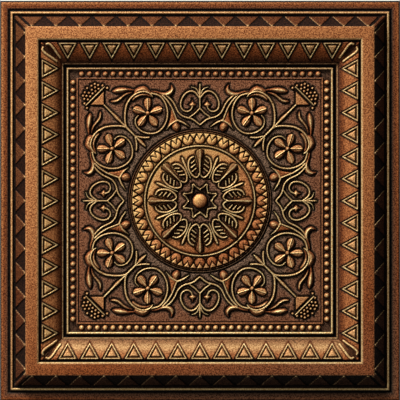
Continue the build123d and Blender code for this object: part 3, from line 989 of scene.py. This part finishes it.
class Bench:
    def __init__(self, name):
        self.material = bpy.data.materials.new(name)
        self.material.use_nodes = True
        self.tree = self.material.node_tree
        self.shader = self.tree.nodes["Principled BSDF"]

    def node(self, kind, settings=None, inputs=None, output=0):
        made = self.tree.nodes.new(kind)
        for name, value in (settings or {}).items():
            setattr(made, name, value)
        for name, value in (inputs or {}).items():
            self.plug(made.inputs[name], value)
        return Wire(self, made.outputs[output])

    def plug(self, socket, value):
        if isinstance(value, Wire):
            self.tree.links.new(value.socket, socket)
        else:
            socket.default_value = value

    def mix(self, share, first, second):
        return self.node("ShaderNodeMix", {"data_type": "RGBA"}, {0: share, 6: first, 7: second}, output=2)

    def span(self, value, low, high):
        """0 at low, 1 at high, and kept between them."""
        inputs = {"Value": value, "From Min": low, "From Max": high}
        return self.node("ShaderNodeMapRange", {"clamp": True}, inputs)

    def attribute(self, name):
        return self.node("ShaderNodeAttribute", {"attribute_name": name}, output="Fac")

    def grain(self, scale, detail=3.0, roughness=0.6):
        place = self.node("ShaderNodeTexCoord", output="Object")
        inputs = {"Vector": place, "Scale": scale, "Detail": detail, "Roughness": roughness}
        return self.node("ShaderNodeTexNoise", {}, inputs)

    def surface(self, **values):
        for name, value in values.items():
            self.plug(self.shader.inputs[name.replace("_", " ")], value)


def srgb(red, green, blue):
    """A colour as mixed on a screen, turned into the light that it reflects."""
    part = np.array([red, green, blue]) / 255
    light = np.where(part <= 0.04045, part / 12.92, ((part + 0.055) / 1.055) ** 2.4)
    return (*light.tolist(), 1.0)


# %% [markdown]
# ## Antique copper paint
# The real finish is built in coats: black all over, copper sprayed over it and wiped out of the hollows,
# then gold rubbed on what stands proud. A thin copper is dark and red, a full one pale, so its value runs
# through four colours. A sandy grain breaks all of them up as the sprayed foam does. Gold and copper
# reflect a little like metal; the black does not.

# %% Antique copper
def antique_copper():
    bench = Bench("antique_copper")
    # gilt, copper and soot carry painted light: painted highlight towards the upper left and on faces leaning
    # there, painted shade on faces and sides turned away; full copper, and copper lifted by painted light,
    # runs to the bright colour
    gilt, copper, soot = (bench.attribute(name) for name in ("gilt", "copper", "soot"))
    sand = bench.grain(640.0, detail=3.0, roughness=0.75)
    pits = bench.span(bench.grain(230.0, detail=2.0), 0.7, 0.76)
    speck = bench.span(sand, 0.41, 0.59)
    ground = bench.mix(speck, srgb(6, 3, 2), srgb(142, 112, 88))
    deep = bench.mix(speck, srgb(76, 31, 13), srgb(170, 93, 47))
    light = bench.mix(speck, srgb(124, 64, 34), srgb(222, 152, 92))
    bright = bench.mix(speck, srgb(206, 146, 80), srgb(252, 206, 132))
    gold = bench.mix(speck, srgb(222, 172, 104), srgb(255, 236, 172))
    black = bench.mix(speck, srgb(0, 0, 0), srgb(6, 4, 3))
    colour = bench.mix(bench.span(copper, 0.0, 0.5), ground, deep)
    colour = bench.mix(bench.span(copper, 0.5, 1.0), colour, light)
    colour = bench.mix(bench.span(copper, 1.0, COPPER_FULL), colour, bright)
    colour = bench.mix(gilt * (0.8 + 0.2 * speck), colour, gold)
    colour = bench.mix(0.7 * pits, colour, srgb(30, 18, 12))
    colour = bench.mix(soot * (1.0 - 0.03 * speck), colour, black)
    bump = {"Strength": 0.6, "Distance": 0.0008, "Height": sand}
    bench.surface(
        Base_Color=colour,
        Roughness=0.62 - 0.2 * gilt + 0.12 * (sand - 0.5),
        Metallic=0.2 * copper * (1 - soot) + 0.3 * gilt,
        Specular_IOR_Level=0.06,
        Normal=bench.node("ShaderNodeBump", {}, bump, output="Normal"),
    )
    return bench.material


def bare_foam():
    """The back, never painted: white foam pressed flat, its beads just showing, with drifted paint."""
    bench = Bench("bare_foam")
    place = {"Vector": bench.node("ShaderNodeTexCoord", output="Object"), "Scale": 320.0}
    cells = bench.node("ShaderNodeTexVoronoi", {"feature": "F1"}, place, output="Distance")
    cloud = bench.grain(9.0)
    white = bench.mix(bench.span(cells, 0.0, 0.7), srgb(238, 235, 226), srgb(216, 211, 200))
    bump = {"Strength": 0.3, "Distance": 0.0005, "Height": cells}
    bench.surface(
        Base_Color=bench.mix(0.35 * bench.span(cloud, 0.52, 0.8), white, srgb(176, 158, 138)),
        Roughness=0.75 + 0.15 * cells,
        Normal=bench.node("ShaderNodeBump", {"invert": True}, bump, output="Normal"),
    )
    return bench.material


finishes = (antique_copper(), bare_foam())
for finish in finishes:
    print(finish.name, "has", len(finish.node_tree.nodes), "nodes")

# %% [markdown]
# ## Build the blocks
# A quarter of the panel is an even net. A side of the frame has its lines at the section's own places and
# its columns spread like a fan towards the mitres, so the mitre is a clean edge.

# %% Panel quarters and frame sides
PANEL_STEP = 0.63
SIDE_STEP = 0.8
SIDE_COLUMNS = 480
QUARTERS = ("panel_right_far", "panel_left_far", "panel_left_near", "panel_right_near")
SIDES = ("side_right", "side_far", "side_left", "side_near")
BAND = (203.9, 216.0)
BAND_MIDDLE = 210

lines = plan_lines([0.0, PANEL], PANEL_STEP)
quarter = np.meshgrid(lines, lines, indexing="ij")
rows = plan_lines(DISTANCE, SIDE_STEP)
on_band = (rows > BAND[0]) & (rows < BAND[1])
rows = rows[~on_band | (np.abs(rows - BAND_MIDDLE) < 0.5)]
side_x, fan = np.meshgrid(rows, np.linspace(-1, 1, SIDE_COLUMNS + 1), indexing="ij")
side = side_x, fan * side_x

for plan, names in ((quarter, QUARTERS), (side, SIDES)):
    surface = relief(*plan)
    for turn, name in enumerate(names):
        piece = block(name, *plan, surface, turn, finishes)
        print(name, "triangles:", sum(len(polygon.vertices) - 2 for polygon in piece.data.polygons))

# %% [markdown]
# ## Floor, light and camera
# The tile lies on a plain pale floor, wide enough that no view finds its edge. Far from the lamps it would
# turn grey, so half of what the camera sees of it is an even glow, which doesn't light the tile and leaves
# its shadow. One large soft lamp stands at the upper left, so the relief throws short shadows to the lower
# right as in the picture; a smaller one at the left and the world fill them in. The camera hangs straight
# above with a very long lens, so the tile looks square on.

# %% Floor
FLOOR = 40.0
FLOOR_DROP = 0.0005
FLOOR_GLOW = 0.5
FLOOR_LIGHTNESS = 0.92
floor_mesh = bpy.data.meshes.new("floor")
corners = [(-FLOOR, -FLOOR, 0), (FLOOR, -FLOOR, 0), (FLOOR, FLOOR, 0), (-FLOOR, FLOOR, 0)]
floor_mesh.from_pydata(corners, [], [(0, 1, 2, 3)])
floor = put("floor", floor_mesh)
floor.location.z = -FLOOR_DROP
pale = Bench("pale_floor")
dust = pale.mix(pale.grain(3.0), srgb(240, 240, 238), srgb(248, 248, 246))
pale.surface(Base_Color=dust, Roughness=0.9)
camera_ray, glossy_ray, through_ray = (
    pale.node("ShaderNodeLightPath", output=f"Is {kind} Ray") for kind in ("Camera", "Glossy", "Transmission")
)
glow = pale.node("ShaderNodeEmission", {}, {"Color": dust, "Strength": FLOOR_LIGHTNESS})
share = FLOOR_GLOW * (camera_ray + glossy_ray + through_ray)
painted = Wire(pale, pale.shader.outputs[0])
lifted = pale.node("ShaderNodeMixShader", {}, {0: share, 1: painted, 2: glow})
pale.plug(pale.tree.nodes["Material Output"].inputs["Surface"], lifted)
floor_mesh.materials.append(pale.material)
print("floor, m:", 2 * FLOOR, "wide,", FLOOR_DROP, "under the tile")

# %% Light
LAMPS = (
    # name, bearing and height in degrees, distance, size, share of the light on the tile's middle
    ("key", 118, 22, 3.4, 0.85, 0.71),
    ("side", 188, 28, 1.6, 0.4, 0.12),
)
FILL = 0.13
for name, bearing, elevation, distance, size, share in LAMPS:
    lamp = bpy.data.lights.new(name, "AREA")
    lamp.shape = "DISK"
    lamp.size = size
    turn, rise = np.radians(bearing), np.radians(elevation)
    lamp.energy = share * np.pi**2 * distance**2 / np.sin(rise)
    holder = put(name, lamp)
    flat = distance * np.cos(rise)
    holder.location = (flat * np.cos(turn), flat * np.sin(turn), distance * np.sin(rise))
    holder.rotation_euler = (-holder.location).to_track_quat("-Z", "Y").to_euler()
    print(name, "lamp, watts:", round(lamp.energy, 1))
world = bpy.data.worlds.new("studio")
world.use_nodes = True
sky = world.node_tree.nodes["Background"].inputs
sky["Color"].default_value = (1.0, 1.0, 1.0, 1.0)
sky["Strength"].default_value = FILL
bpy.context.scene.world = world

# %% Camera
LENS = 400.0
SENSOR = 36.0
VIEW_WIDTH = 0.5001
BESIDE = (0.0, 0.0012)
camera_data = bpy.data.cameras.new("camera")
camera_data.lens = LENS
camera_data.sensor_width = SENSOR
camera = put("camera", camera_data)
camera.location = (*BESIDE, VIEW_WIDTH * LENS / SENSOR)
bpy.context.scene.camera = camera
bpy.context.scene.view_settings.view_transform = "Standard"
print("camera height, m:", round(camera.location.z, 3))
